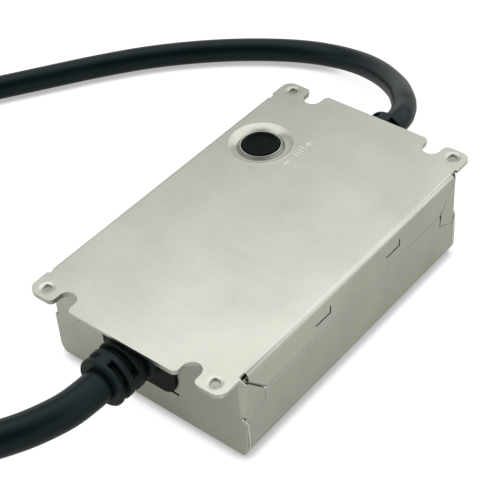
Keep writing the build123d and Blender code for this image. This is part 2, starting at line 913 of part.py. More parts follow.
with BuildPart() as safety_capacitor:
    with BuildSketch(Plane.XZ.offset(board_y - disc_from_end - disc_thick / 2)):
        with Locations((disc_x, board_top + disc_diameter / 2)):
            Circle(disc_diameter / 2)
    extrude(amount=disc_thick)
    chamfer(safety_capacitor.edges().filter_by(GeomType.CIRCLE), 0.8)
safety_capacitor.part.label = "safety_capacitor"
export_step(safety_capacitor.part, "parts/safety_capacitor.step")

with BuildPart() as bridge_rectifier:
    with Locations((board_x - bridge_from_side, bridge_from_end - board_y, board_top)):
        Box(bridge_width, bridge_depth, bridge_height, align=(Align.CENTER, Align.CENTER, Align.MIN))
    chamfer(bridge_rectifier.edges().filter_by(Axis.Y).sort_by(Axis.Z)[-1], 2.0)
bridge_rectifier.part.label = "bridge_rectifier"
export_step(bridge_rectifier.part, "parts/bridge_rectifier.step")

# Heat bar along the right wall, with the two power parts clipped to it.
bar_x = liner_x - liner_sheet - bar_wall_gap - bar_thick / 2
bar_height = liner_top - board_top
with BuildPart() as heat_bar:
    with Locations((bar_x, bar_y, board_top)):
        Box(bar_thick, bar_length, bar_height, align=(Align.CENTER, Align.CENTER, Align.MIN))
heat_bar.part.label = "heat_bar"
export_step(heat_bar.part, "parts/heat_bar.step")

package_face = bar_x - bar_thick / 2


def power_package(at_y):
    """Moulded three-leg package with a bare metal tab against the bar."""
    with BuildPart() as package:
        with Locations((package_face, at_y, board_top)):
            Box(tab_thick, package_width, package_height, align=(Align.MAX, Align.CENTER, Align.MIN))
            Box(package_thick, package_width, package_height - tab_share, align=(Align.MAX, Align.CENTER, Align.MIN))
    return package.part


switching_transistor = power_package(transistor_y)
switching_transistor.label = "switching_transistor"
export_step(switching_transistor, "parts/switching_transistor.step")

output_diode = power_package(diode_y)
output_diode.label = "output_diode"
export_step(output_diode, "parts/output_diode.step")


def bar_clip(at_y):
    """Spring clip that hooks over the bar and presses on a package tab."""
    with BuildPart() as clip:
        with BuildSketch(Plane.XZ.offset(-at_y)):
            with BuildLine():
                Polyline(
                    (bar_x + bar_thick / 2, board_top + bar_height - clip_drop),
                    (bar_x + bar_thick / 2, board_top + bar_height),
                    (package_face, board_top + bar_height),
                    (package_face, board_top + package_height),
                    (package_face - tab_thick, board_top + package_height),
                    (package_face - tab_thick, board_top + package_height - tab_share / 2),
                )
                offset(amount=clip_sheet, side=Side.RIGHT, kind=Kind.INTERSECTION)
            make_face()
        extrude(amount=clip_width / 2, both=True)
    return clip.part


clip_transistor = bar_clip(transistor_y)
clip_transistor.label = "clip_transistor"
export_step(clip_transistor, "parts/clip_transistor.step")

clip_diode = bar_clip(diode_y)
clip_diode.label = "clip_diode"
export_step(clip_diode, "parts/clip_diode.step")

with BuildPart() as fuse:
    with BuildSketch(Plane.YZ.offset(board_x - fuse_from_side - fuse_length / 2)):
        with Locations((fuse_from_end - board_y, board_top + fuse_diameter / 2)):
            Circle(fuse_diameter / 2)
    extrude(amount=fuse_length)
    chamfer(fuse.edges().filter_by(GeomType.CIRCLE), 0.6)
fuse.part.label = "fuse"
export_step(fuse.part, "parts/fuse.step")

with BuildPart() as varistor:
    with BuildSketch(Plane.XZ.offset(board_y - varistor_from_end - varistor_thick / 2)):
        with Locations((board_x - varistor_from_side, board_top + varistor_diameter / 2)):
            Circle(varistor_diameter / 2)
    extrude(amount=varistor_thick)
    chamfer(varistor.edges().filter_by(GeomType.CIRCLE), 1.0)
varistor.part.label = "varistor"
export_step(varistor.part, "parts/varistor.step")

with BuildPart() as control_chip:
    with Locations((chip_x, board_y - chip_from_end, board_top)):
        Box(chip_width, chip_length, chip_height, align=(Align.CENTER, Align.CENTER, Align.MIN))
    chamfer(control_chip.edges().filter_by(Axis.Y).sort_by(Axis.Z)[-2:], 0.3)
control_chip.part.label = "control_chip"
export_step(control_chip.part, "parts/control_chip.step")

# Output adjuster under the plug: a fixed body and a slotted rotor turned through the hole.
with BuildPart() as trimmer_body:
    with Locations((adjust_x, adjust_y, board_top)):
        Box(trimmer_width, trimmer_width, trimmer_height, align=(Align.CENTER, Align.CENTER, Align.MIN))
    chamfer(trimmer_body.edges().filter_by(Axis.Z), 0.5)
trimmer_body.part.label = "trimmer_body"
export_step(trimmer_body.part, "parts/trimmer_body.step")

with BuildPart() as trimmer_rotor:
    with BuildSketch(Plane.XY.offset(board_top + trimmer_height + rotor_gap)):
        with Locations((adjust_x, adjust_y)):
            Circle(rotor_diameter / 2)
    extrude(amount=rotor_height)
    with Locations((adjust_x, adjust_y, board_top + trimmer_height + rotor_gap + rotor_height)):
        Box(rotor_diameter, rotor_slot, rotor_height, mode=Mode.SUBTRACT)
trimmer_rotor.part.label = "trimmer_rotor"
export_step(trimmer_rotor.part, "parts/trimmer_rotor.step")
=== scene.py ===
# Led driver: a folded sheet-metal case with a rubber plug in its cover and a black rubber
# cord out of a slotted boot at each end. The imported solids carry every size, and here they
# get rounded sheet edges, brushed steel, moulded rubber and a plain studio.
from math import cos, pi, radians, sin

import bmesh
import bpy
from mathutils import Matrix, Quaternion, Vector


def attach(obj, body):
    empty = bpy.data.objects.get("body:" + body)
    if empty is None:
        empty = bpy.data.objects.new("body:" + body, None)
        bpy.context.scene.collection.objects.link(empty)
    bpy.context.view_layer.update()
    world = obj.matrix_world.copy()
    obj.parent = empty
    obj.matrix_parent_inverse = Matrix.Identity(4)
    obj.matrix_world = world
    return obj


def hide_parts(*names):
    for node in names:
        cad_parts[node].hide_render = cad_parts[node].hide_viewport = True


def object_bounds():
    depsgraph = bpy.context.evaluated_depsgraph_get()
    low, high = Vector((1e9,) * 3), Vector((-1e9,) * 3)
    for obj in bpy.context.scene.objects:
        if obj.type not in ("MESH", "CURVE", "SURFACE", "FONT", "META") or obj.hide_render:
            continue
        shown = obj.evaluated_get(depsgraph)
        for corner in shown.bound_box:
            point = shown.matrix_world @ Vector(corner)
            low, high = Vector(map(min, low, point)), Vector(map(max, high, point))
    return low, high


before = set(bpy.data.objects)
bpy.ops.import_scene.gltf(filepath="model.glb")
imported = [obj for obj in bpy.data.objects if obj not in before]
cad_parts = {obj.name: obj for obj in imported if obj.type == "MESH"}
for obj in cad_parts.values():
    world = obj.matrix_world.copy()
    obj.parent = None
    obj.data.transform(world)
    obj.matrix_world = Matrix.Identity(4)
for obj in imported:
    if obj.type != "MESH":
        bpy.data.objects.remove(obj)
cad_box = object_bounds()

# Camera: a long lens above the near right corner, looking down along the case. Its place, turn
# and tilt are matched to the photograph's perspective.
view_azimuth = radians(41.06)
view_elevation = radians(42.0)
view_roll = radians(-3.9)
camera_place = (0.17724, -0.20767, 0.26468)
lens_length = 99.8
sensor_width = 36.0
nearest_seen = 0.01
view_back = Vector((
    sin(view_azimuth) * cos(view_elevation),
    -cos(view_azimuth) * cos(view_elevation),
    sin(view_elevation),
))
camera = bpy.data.objects.new("camera", bpy.data.cameras.new("camera"))
camera.data.lens = lens_length
camera.data.sensor_width = sensor_width
camera.data.clip_start = nearest_seen
camera.location = camera_place
camera.rotation_mode = "QUATERNION"
camera.rotation_quaternion = view_back.to_track_quat("Z", "Y") @ Quaternion((0, 0, 1), view_roll)
bpy.context.collection.objects.link(camera)
bpy.context.scene.camera = camera

# Cords: a three-core lead out of the near end and a thinner two-core one out of the far end, each
# in one extruded jacket of black rubber. They come down from their boots and lie on the table,
# and their bare cores are past the camera's view.
input_diameter = 0.009
output_diameter = 0.0076
input_route = [
    (-0.0008, -0.0612, 0.0200),
    (-0.0008, -0.0680, 0.0200),
    (-0.0020, -0.0747, 0.0200),
    (-0.0063, -0.0853, 0.0200),
    (-0.0184, -0.1018, 0.0193),
    (-0.0331, -0.1137, 0.0110),
    (-0.0570, -0.1260, 0.0053),
    (-0.0880, -0.1330, 0.0046),
    (-0.1180, -0.1280, 0.0046),
    (-0.1400, -0.1090, 0.0046),
    (-0.1460, -0.0810, 0.0046),
    (-0.1340, -0.0550, 0.0046),
    (-0.1100, -0.0420, 0.0046),
]
output_route = [
    (-0.0008, 0.0612, 0.0200),
    (-0.0008, 0.0670, 0.0200),
    (-0.0037, 0.0738, 0.0182),
    (-0.0071, 0.0787, 0.0173),
    (-0.0164, 0.0892, 0.0126),
    (-0.0304, 0.0977, 0.0088),
    (-0.0449, 0.1005, 0.0060),
    (-0.0610, 0.0976, 0.0043),
    (-0.0797, 0.0864, 0.0039),
    (-0.0972, 0.0707, 0.0039),
    (-0.1102, 0.0546, 0.0039),
    (-0.1253, 0.0322, 0.0039),
    (-0.1400, 0.0106, 0.0039),
    (-0.1510, -0.0110, 0.0039),
    (-0.1580, -0.0340, 0.0039),
    (-0.1610, -0.0570, 0.0039),
]
jacket_dark, jacket_light = (0.0012, 0.0046, 0.0058), (0.0020, 0.0062, 0.0074)
jacket_smooth, jacket_rough, jacket_bumps = 0.27, 0.34, 0.25
jacket_clouds, jacket_grain = 70.0, 2600.0
jacket_shine, jacket_sheen = 0.27, (0.74, 0.96, 1.0, 1)
grain_relief = 0.00003


def new_material(name):
    """A node material, its tree and its Principled shader."""
    material = bpy.data.materials.new(name)
    material.use_nodes = True
    tree = material.node_tree
    shader = tree.nodes["Principled BSDF"]
    return material, tree, shader


def add_node(tree, kind, values=None, links=None):
    """One node with its settings and input values, and with links from other nodes' outputs."""
    node = tree.nodes.new(kind)
    for key, value in (values or {}).items():
        if isinstance(key, str) and hasattr(node, key):
            setattr(node, key, value)
        else:
            node.inputs[key].default_value = value
    for key, output in (links or {}).items():
        tree.links.new(output, node.inputs[key])
    return node


def fade(tree, amount, start, end, low=0.0, high=1.0, smooth=False):
    """A value that goes from low to high while an amount goes from start to end."""
    node = add_node(
        tree, "ShaderNodeMapRange",
        {"From Min": start, "From Max": end, "To Min": low, "To Max": high}, {"Value": amount},
    )
    if smooth:
        node.interpolation_type = "SMOOTHSTEP"
    return node.outputs["Result"]


def two_tone(tree, amount, dark, light, start, end):
    """A colour that goes from dark to light while an amount goes from start to end."""
    ramp = add_node(tree, "ShaderNodeValToRGB", {}, {"Fac": amount})
    for element, position, colour in zip(ramp.color_ramp.elements, (start, end), (dark, light)):
        element.position = position
        element.color = (*colour, 1)
    return ramp.outputs["Color"]


def new_group(name, *inputs):
    """An empty group for an effect that materials share, with named inputs."""
    group = bpy.data.node_groups.new(name, "ShaderNodeTree")
    for socket in inputs:
        group.interface.new_socket(socket, in_out="INPUT", socket_type="NodeSocketFloat")
    return group


def give_out(group, results):
    """Ends a group with named outputs, each linked to what its nodes worked out."""
    for name in results:
        group.interface.new_socket(name, in_out="OUTPUT", socket_type="NodeSocketFloat")
    leave = group.nodes.new("NodeGroupOutput")
    for name, result in results.items():
        group.links.new(result, leave.inputs[name])
    return group


def fine_grain():
    """Even mottling of moulded, coated and cast surfaces."""
    group = new_group("fine_grain", "Scale", "Detail")
    entry = group.nodes.new("NodeGroupInput")
    place = add_node(group, "ShaderNodeTexCoord").outputs["Object"]
    noise = add_node(
        group, "ShaderNodeTexNoise", {},
        {"Vector": place, "Scale": entry.outputs["Scale"], "Detail": entry.outputs["Detail"]},
    )
    return give_out(group, {"Grain": noise.outputs["Fac"]})


def grain_of(tree, scale, detail):
    """The shared fine grain, placed in a material at its own scale."""
    values = {"node_tree": grain_group, "Scale": scale, "Detail": detail}
    return add_node(tree, "ShaderNodeGroup", values).outputs["Grain"]


def grained(tree, shader, grain, smooth, rough, strength):
    """Gives a surface its roughness, between two values, and slight bumps from the same grain."""
    tree.links.new(fade(tree, grain, 0.0, 1.0, smooth, rough), shader.inputs["Roughness"])
    bump = add_node(
        tree, "ShaderNodeBump", {"Strength": strength, "Distance": grain_relief}, {"Height": grain}
    )
    tree.links.new(bump.outputs["Normal"], shader.inputs["Normal"])


def cord_line(name, route, diameter):
    """Round cord whose line is a smooth spline with the route's points as its control points."""
    curve = bpy.data.curves.new(name, "CURVE")
    curve.dimensions = "3D"
    curve.bevel_depth = diameter / 2
    curve.bevel_resolution = 7
    curve.resolution_u = 10
    curve.use_fill_caps = True
    spline = curve.splines.new("NURBS")
    spline.points.add(len(route) - 1)
    for point, place in zip(spline.points, route):
        point.co = (*place, 1)
    spline.order_u = 3
    spline.use_endpoint_u = True
    cord = bpy.data.objects.new(name, curve)
    bpy.context.collection.objects.link(cord)
    return cord


grain_group = fine_grain()
jacket, tree, shader = new_material("cord_rubber")
tint = two_tone(tree, grain_of(tree, jacket_clouds, 2.0), jacket_dark, jacket_light, 0.35, 0.70)
tree.links.new(tint, shader.inputs["Base Color"])
grained(tree, shader, grain_of(tree, jacket_grain, 3.0), jacket_smooth, jacket_rough, jacket_bumps)
shader.inputs["Specular IOR Level"].default_value = jacket_shine
shader.inputs["Specular Tint"].default_value = jacket_sheen

input_cord = cord_line("input_lead", input_route, input_diameter)
output_cord = cord_line("output_lead", output_route, output_diameter)
for cord, node in ((input_cord, "input_cord"), (output_cord, "output_cord")):
    cord.data.materials.append(jacket)
    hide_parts(node)
    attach(cord, "driver")

# Cover: one sheet of rolled steel, cut out, folded down into two skirts and clinched to the tray's
# flanges at its four ears. The clinching left a bowl in each ear. Painted shade darkens the pit of
# each bowl, the cover's seams and notches and a ring round the plug's collar, and painted shadow
# lines run along the skirts' lower and slanted edges. A painted sheen makes the cover lighter
# toward its near end and darker toward its far end.
cover_rounding = 0.00026
cover_seam_reach = 0.0009
weld_distance, flat_angle, edge_angle = 0.000002, radians(1), radians(35)
clinch_x, clinch_y = 0.02715, 0.05075
bowl_foot, bowl_rim, bowl_depth = 0.0013, 0.0024, 0.00011
pit_foot, pit_rim, pit_shade = 0.0010, 0.0013, 0.62
painted_sheen_end, near_painted_sheen, far_painted_sheen = 0.050, 1.09, 0.91
skirt_edge = 0.0194
slope_foot, slope_top, slope_across = 0.0379, 0.0266, (0, 0.738, -0.675)
edge_line, edge_fade, edge_shade = 0.00012, 0.00036, 0.46
seat_x, seat_y = -0.0198, 0.0261
collar_reach = 0.0062
collar_line, collar_fade, collar_shade = 0.00030, 0.00060, 0.74
upright_facing = 0.72
cloud_scale = 60.0
streak_share, band_share, cloud_share = 0.30, 0.15, 0.55
steel_smooth, steel_rough = 0.285, 0.32
scratch_strength, scratch_depth = 0.015, 0.00004
seam_dark_at, seam_light_at, seam_shade = 0.15, 0.62, 0.06


def reckon(tree, operation, *terms):
    """The result of one operation on terms that are numbers or other nodes' outputs."""
    node = add_node(tree, "ShaderNodeMath", {"operation": operation})
    for socket, term in zip(node.inputs, terms):
        if isinstance(term, bpy.types.NodeSocket):
            tree.links.new(term, socket)
        else:
            socket.default_value = term
    return node.outputs[0]


def against(tree, operation, place, reference):
    """The distance or dot product of a place or direction with a fixed one."""
    node = add_node(tree, "ShaderNodeVectorMath", {"operation": operation, 1: reference}, {0: place})
    return node.outputs["Value"]


def plan_distance(tree, place, x, y):
    """Distance from an upright axis."""
    level = add_node(tree, "ShaderNodeVectorMath", {"operation": "MULTIPLY", 1: (1, 1, 0)}, {0: place})
    return against(tree, "DISTANCE", level.outputs["Vector"], (x, y, 0))


def sheet_grain():
    """Rolled steel: fine short streaks along the sheet's grain, faint long bands and soft clouds, and how
    enclosed each point is, for painted shade.
    """
    group = new_group("sheet_grain", "Reach")
    entry = group.nodes.new("NodeGroupInput")
    place = add_node(group, "ShaderNodeTexCoord").outputs
    axes = add_node(group, "ShaderNodeSeparateXYZ", {}, {"Vector": place["Object"]}).outputs
    facing = add_node(group, "ShaderNodeSeparateXYZ", {}, {"Vector": place["Normal"]}).outputs
    on_side = reckon(group, "GREATER_THAN", reckon(group, "ABSOLUTE", facing["X"]), upright_facing)
    on_end = reckon(group, "GREATER_THAN", reckon(group, "ABSOLUTE", facing["Y"]), upright_facing)
    run = add_node(
        group, "ShaderNodeMix", {"data_type": "FLOAT"}, {0: on_side, 2: axes["X"], 3: axes["Z"]}
    ).outputs[0]
    across = add_node(
        group, "ShaderNodeMix", {"data_type": "FLOAT"}, {0: on_end, 2: axes["Y"], 3: axes["Z"]}
    ).outputs[0]
    results = {}
    for name, along_scale, across_scale in (("Streaks", 300.0, 4200.0), ("Bands", 45.0, 900.0)):
        along = reckon(group, "MULTIPLY", run, along_scale)
        over = reckon(group, "MULTIPLY", across, across_scale)
        stretched = add_node(group, "ShaderNodeCombineXYZ", {}, {"X": along, "Y": over})
        noise = add_node(
            group, "ShaderNodeTexNoise", {"Scale": 1.0, "Detail": 2.0, "Roughness": 0.55},
            {"Vector": stretched.outputs[0]},
        )
        results[name] = noise.outputs["Fac"]
    clouds = add_node(
        group, "ShaderNodeTexNoise", {"Scale": cloud_scale, "Detail": 3.0}, {"Vector": place["Object"]}
    )
    results["Clouds"] = clouds.outputs["Fac"]
    hollow = add_node(
        group, "ShaderNodeAmbientOcclusion", {"samples": 16}, {"Distance": entry.outputs["Reach"]}
    )
    results["Crevice"] = hollow.outputs["AO"]
    return give_out(group, results)


def relief_and_painted_light():
    """Height of the bowls that the clinching pressed into the cover, in metres, and its painted shade and
    sheen.
    """
    group = new_group("relief_and_painted_light")
    place = add_node(group, "ShaderNodeTexCoord").outputs["Object"]
    axes = add_node(group, "ShaderNodeSeparateXYZ", {}, {"Vector": place}).outputs
    folded = add_node(group, "ShaderNodeVectorMath", {"operation": "ABSOLUTE"}, {0: place}).outputs["Vector"]
    from_clinch = plan_distance(group, folded, clinch_x, clinch_y)
    bowl = fade(group, from_clinch, bowl_foot, bowl_rim, -bowl_depth, 0.0, smooth=True)
    # Painted shade in the pit of each clinch bowl.
    pit = fade(group, from_clinch, pit_foot, pit_rim, pit_shade, 1.0)
    # Painted sheen: the cover's colour is lighter toward its near end and darker toward its far end.
    painted_sheen = fade(group, axes["Y"], -painted_sheen_end, painted_sheen_end, near_painted_sheen, far_painted_sheen)
    # Painted shadow lines along the skirts' lower and slanted edges.
    from_lower = reckon(group, "ABSOLUTE", reckon(group, "SUBTRACT", axes["Z"], skirt_edge))
    from_foot = add_node(
        group, "ShaderNodeVectorMath", {"operation": "SUBTRACT", 1: (0, slope_foot, skirt_edge)}, {0: folded}
    )
    past_slope = against(group, "DOT_PRODUCT", from_foot.outputs["Vector"], slope_across)
    above_slope = reckon(group, "SUBTRACT", axes["Z"], slope_top)
    from_slope = reckon(group, "MAXIMUM", reckon(group, "ABSOLUTE", past_slope), above_slope)
    from_edge = reckon(group, "MINIMUM", from_lower, from_slope)
    edge = fade(group, from_edge, edge_line, edge_fade, edge_shade, 1.0)
    # Painted shade round the plug's collar.
    from_seat = plan_distance(group, place, seat_x, seat_y)
    from_collar = reckon(group, "ABSOLUTE", reckon(group, "SUBTRACT", from_seat, collar_reach))
    collar = fade(group, from_collar, collar_line, collar_fade, collar_shade, 1.0)
    pressed = reckon(group, "MULTIPLY", pit, collar)
    painted_edges_and_sheen = reckon(group, "MULTIPLY", painted_sheen, edge)
    return give_out(group, {"Height": bowl, "Shade": reckon(group, "MULTIPLY", pressed, painted_edges_and_sheen)})


def darkened(tree, colour, amount):
    """A colour multiplied by an amount."""
    values = {"data_type": "RGBA", "blend_type": "MULTIPLY", 0: 1.0}
    return add_node(tree, "ShaderNodeMix", values, {6: colour, 7: amount}).outputs[2]


def steel(name, dark, light, seam_reach, relief=None):
    """Brushed sheet steel between two tones, with painted shade down in its seams and notches."""
    material, tree, shader = new_material(name)
    texture = add_node(tree, "ShaderNodeGroup", {"node_tree": sheet_group, "Reach": seam_reach}).outputs
    fine = reckon(tree, "MULTIPLY", texture["Streaks"], streak_share)
    banded = reckon(tree, "MULTIPLY_ADD", texture["Bands"], band_share, fine)
    mixed = reckon(tree, "MULTIPLY_ADD", texture["Clouds"], cloud_share, banded)
    tone = two_tone(tree, mixed, dark, light, 0.30, 0.70)
    # Painted shade: darker where the surface is enclosed, in seams and notches.
    seam_painted_shade = fade(tree, texture["Crevice"], seam_dark_at, seam_light_at, seam_shade, 1.0)
    surface = darkened(tree, tone, seam_painted_shade)
    spread = fade(tree, texture["Streaks"], 0.3, 0.7, steel_smooth, steel_rough)
    tree.links.new(spread, shader.inputs["Roughness"])
    normal = add_node(
        tree, "ShaderNodeBump", {"Strength": scratch_strength, "Distance": scratch_depth},
        {"Height": texture["Streaks"]},
    ).outputs["Normal"]
    if relief:
        pressed = add_node(tree, "ShaderNodeGroup", {"node_tree": relief}).outputs
        normal = add_node(
            tree, "ShaderNodeBump", {"Strength": 1.0, "Distance": 1.0},
            {"Height": pressed["Height"], "Normal": normal},
        ).outputs["Normal"]
        surface = darkened(tree, surface, pressed["Shade"])
    tree.links.new(normal, shader.inputs["Normal"])
    tree.links.new(surface, shader.inputs["Base Color"])
    shader.inputs["Metallic"].default_value = 1.0
    return material


def softened(name, node, edge, material):
    """A copy of a solid with its flat faces joined up and its edges rounded, in place of the solid."""
    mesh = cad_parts[node].data.copy()
    mesh.name = name
    shape = bmesh.new()
    shape.from_mesh(mesh)
    bmesh.ops.remove_doubles(shape, verts=shape.verts, dist=weld_distance)
    bmesh.ops.dissolve_limit(
        shape, angle_limit=flat_angle, use_dissolve_boundaries=False, verts=shape.verts, edges=shape.edges
    )
    shape.to_mesh(mesh)
    shape.free()
    mesh.materials.clear()
    mesh.materials.append(material)
    piece = bpy.data.objects.new(name, mesh)
    bpy.context.collection.objects.link(piece)
    rounding = piece.modifiers.new("edges", "BEVEL")
    rounding.width = edge
    rounding.segments = 2
    rounding.limit_method = "ANGLE"
    rounding.angle_limit = edge_angle
    rounding.harden_normals = True
    finished = bpy.data.meshes.new_from_object(piece.evaluated_get(bpy.context.evaluated_depsgraph_get()))
    piece.modifiers.clear()
    piece.data = finished
    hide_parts(node)
    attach(piece, "driver")


sheet_group = sheet_grain()
relief_group = relief_and_painted_light()
cover_dark, cover_light = (0.570, 0.580, 0.510), (0.720, 0.730, 0.650)
cover_steel = steel("cover_steel", cover_dark, cover_light, cover_seam_reach, relief_group)
softened("cover_sheet", "cover", cover_rounding, cover_steel)

# Seat of the plug: the dish drawn down into the cover. A thin skin of the same steel follows it
# round smoothly, from just past its rim down to the ditch at the foot of the collar.
dish_rim, dish_foot, dish_curve = 0.0096, 0.00642, 0.0052
skin_rise, skin_depth, skin_margin, skin_sink = 0.00003, 0.00005, 0.00015, 0.000004
skin_steps, skin_turns = 16, 96
skin_weld, smooth_below = 0.000001, radians(40)
plate_top = cad_box[1][2]


def dish_fall(reach):
    """Height of the drawn dish against the plate, at a reach from the plug's axis."""
    inward = max(dish_rim - reach, 0)
    return (dish_curve ** 2 - inward ** 2) ** 0.5 - dish_curve


skin_edge = dish_rim + skin_margin
skin_reaches = [skin_edge - (skin_edge - dish_foot) * step / skin_steps for step in range(skin_steps + 1)]
skin_section = []
for reach in skin_reaches:
    lift = skin_rise * min((skin_edge - reach) / (2 * skin_margin), 1) - skin_sink
    skin_section.append((reach, plate_top + dish_fall(reach) + lift))
skin_section += [(reach, plate_top + dish_fall(reach) - skin_depth) for reach in reversed(skin_reaches)]
dish_shape = bmesh.new()
skin_ring = [dish_shape.verts.new((seat_x + reach, seat_y, height)) for reach, height in skin_section]
skin_edges = [dish_shape.edges.new(pair) for pair in zip(skin_ring, skin_ring[1:] + skin_ring[:1])]
bmesh.ops.spin(
    dish_shape, geom=skin_ring + skin_edges, cent=(seat_x, seat_y, 0), axis=(0, 0, 1),
    angle=2 * pi, steps=skin_turns,
)
bmesh.ops.remove_doubles(dish_shape, verts=dish_shape.verts, dist=skin_weld)
bmesh.ops.recalc_face_normals(dish_shape, faces=dish_shape.faces)
dish_skin = bpy.data.objects.new("plug_seat", bpy.data.meshes.new("plug_seat"))
dish_shape.to_mesh(dish_skin.data)
dish_shape.free()
bpy.context.collection.objects.link(dish_skin)
dish_skin.data.materials.append(cover_steel)
dish_skin.data.shade_smooth()
dish_skin.data.set_sharp_from_angle(angle=smooth_below)
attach(dish_skin, "driver")

# Tray: the case's floor, long walls and end walls, folded up from one sheet of the same steel and
# a little darker. Its long walls tuck in behind the cover's skirts. Painted shade, reaching further
# than on the cover, darkens its seams and notches and its foot along the floor.
tray_rounding = 0.00012
tray_seam_reach = 0.0014
tray_dark, tray_light = (0.545, 0.555, 0.490), (0.690, 0.700, 0.620)
tray_steel = steel("tray_steel", tray_dark, tray_light, tray_seam_reach)
softened("tray_sheet", "tray", tray_rounding, tray_steel)

# Strain reliefs and the adjuster's plug: black rubber mouldings with a fine matt skin. Painted
# shade darkens their slots and the block behind each boot, and a painted dark spot marks the near
# boot's vent hole. A strain relief's block fills the cut-out in the end wall behind its boot, and
# the plug is pressed into the cover's collar.
boot_rounding, plug_rounding = 0.00022, 0.0002
slot_reach, slot_dark_at, slot_light_at = 0.002, 0.50, 0.92
block_face, boot_face, block_shade = 0.0474, 0.0500, 0.15
vent_place = (-0.0028, -0.0585, 0.0264)
vent_radius, vent_edge = 0.0006, 0.0008
rubber_painted_shade, rubber_skin = (0.0008, 0.0012, 0.0013, 1), (0.0090, 0.0150, 0.0156, 1)
rubber_smooth, rubber_rough, rubber_bumps, rubber_grain = 0.34, 0.46, 0.2, 1800.0
boot_shine, plug_shine, rubber_sheen = 0.18, 0.07, (0.76, 0.96, 1.0, 1)
moulded, tree, shader = new_material("moulded_rubber")
place = add_node(tree, "ShaderNodeTexCoord").outputs["Object"]
# Painted shade: darker down in the slots.
hollow = add_node(tree, "ShaderNodeAmbientOcclusion", {"samples": 8, "Distance": slot_reach})
out_of_slot = fade(tree, hollow.outputs["AO"], slot_dark_at, slot_light_at)
# A painted dark spot for the near boot's vent hole.
off_vent = fade(tree, against(tree, "DISTANCE", place, vent_place), vent_radius, vent_edge)
axes = add_node(tree, "ShaderNodeSeparateXYZ", {}, {"Vector": place})
from_middle = reckon(tree, "ABSOLUTE", axes.outputs["Y"])
# Painted shade on the block behind each boot.
on_boot = fade(tree, from_middle, block_face, boot_face, block_shade, 1.0)
open_face = reckon(tree, "MULTIPLY", out_of_slot, off_vent)
unshaded_skin = reckon(tree, "MULTIPLY", open_face, on_boot)
tint = add_node(
    tree, "ShaderNodeMix", {"data_type": "RGBA", 6: rubber_painted_shade, 7: rubber_skin}, {0: unshaded_skin}
)
tree.links.new(tint.outputs[2], shader.inputs["Base Color"])
grained(tree, shader, grain_of(tree, rubber_grain, 3.0), rubber_smooth, rubber_rough, rubber_bumps)
shader.inputs["Specular IOR Level"].default_value = boot_shine
shader.inputs["Specular Tint"].default_value = rubber_sheen
softened("input_boot", "input_gland", boot_rounding, moulded)
softened("output_boot", "output_gland", boot_rounding, moulded)
plug_rubber = moulded.copy()
plug_rubber.name = "plug_rubber"
plug_rubber.node_tree.nodes["Principled BSDF"].inputs["Specular IOR Level"].default_value = plug_shine
softened("plug", "adjust_plug", plug_rounding, plug_rubber)

# Upright corners of the tray: a gusset bent round each one closes it up to the ear. A round ridge,
# the burr that the shears left, runs down each seam below and along each gusset's slope; it catches
# real highlights, and its brighter steel adds a painted highlight. The same corner comes four
# times, so it is drawn once and mirrored.
seam_burr = [
    (0.03080, -0.04648, 0.01500),
    (0.03125, -0.04632, 0.01400),
    (0.03146, -0.04570, 0.01300),
    (0.03156, -0.04540, 0.01230),
    (0.03156, -0.04530, 0.00710),
    (0.03154, -0.04525, 0.00450),
    (0.03120, -0.04540, 0.00300),
]
burr_radius = 0.00024
gusset_centre_x, gusset_centre_y = 0.0300, -0.0449
gusset_radius, gusset_sheet = 0.00149, 0.0005
gusset_bottom, gusset_top, gusset_tip = 0.02568, 0.02835, 0.02580
gusset_steps, gusset_level = 8, 2.5
rim_inset, rim_start = 0.00012, 2
ridge_sides = 12
mottle_dark_at, mottle_light_at = 0.35, 0.65
roughness_spread, finish_bumps = 0.06, 0.3


def finish(name, nodes, dark, light, grain_size, roughness, metallic=0.0):
    """A mottled, lightly textured finish, given to the pieces that keep the shape of their solids."""
    material, tree, shader = new_material(name)
    grain = grain_of(tree, 1 / grain_size, 4.0)
    tint = two_tone(tree, grain, dark, light, mottle_dark_at, mottle_light_at)
    tree.links.new(tint, shader.inputs["Base Color"])
    grained(tree, shader, grain, roughness - roughness_spread, roughness + roughness_spread, finish_bumps)
    shader.inputs["Metallic"].default_value = metallic
    for node in nodes:
        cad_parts[node].data.materials.clear()
        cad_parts[node].data.materials.append(material)
    return material


def new_growth(name, **inputs):
    """A tree that takes a shape and gives one, with further inputs of the kinds given."""
    tree = bpy.data.node_groups.new(name, "GeometryNodeTree")
    tree.interface.new_socket("Geometry", in_out="INPUT", socket_type="NodeSocketGeometry")
    for socket, kind in inputs.items():
        tree.interface.new_socket(socket, in_out="INPUT", socket_type=kind)
    tree.interface.new_socket("Geometry", in_out="OUTPUT", socket_type="NodeSocketGeometry")
    return tree, tree.nodes.new("NodeGroupInput").outputs


def paint_out(tree, shape, material):
    """Ends a tree: its shape is made real, painted and given out."""
    real = add_node(tree, "GeometryNodeRealizeInstances", {}, {"Geometry": shape})
    painted = add_node(
        tree, "GeometryNodeSetMaterial", {}, {"Geometry": real.outputs["Geometry"], "Material": material}
    )
    leave = tree.nodes.new("NodeGroupOutput")
    tree.links.new(painted.outputs["Geometry"], leave.inputs["Geometry"])
    return tree


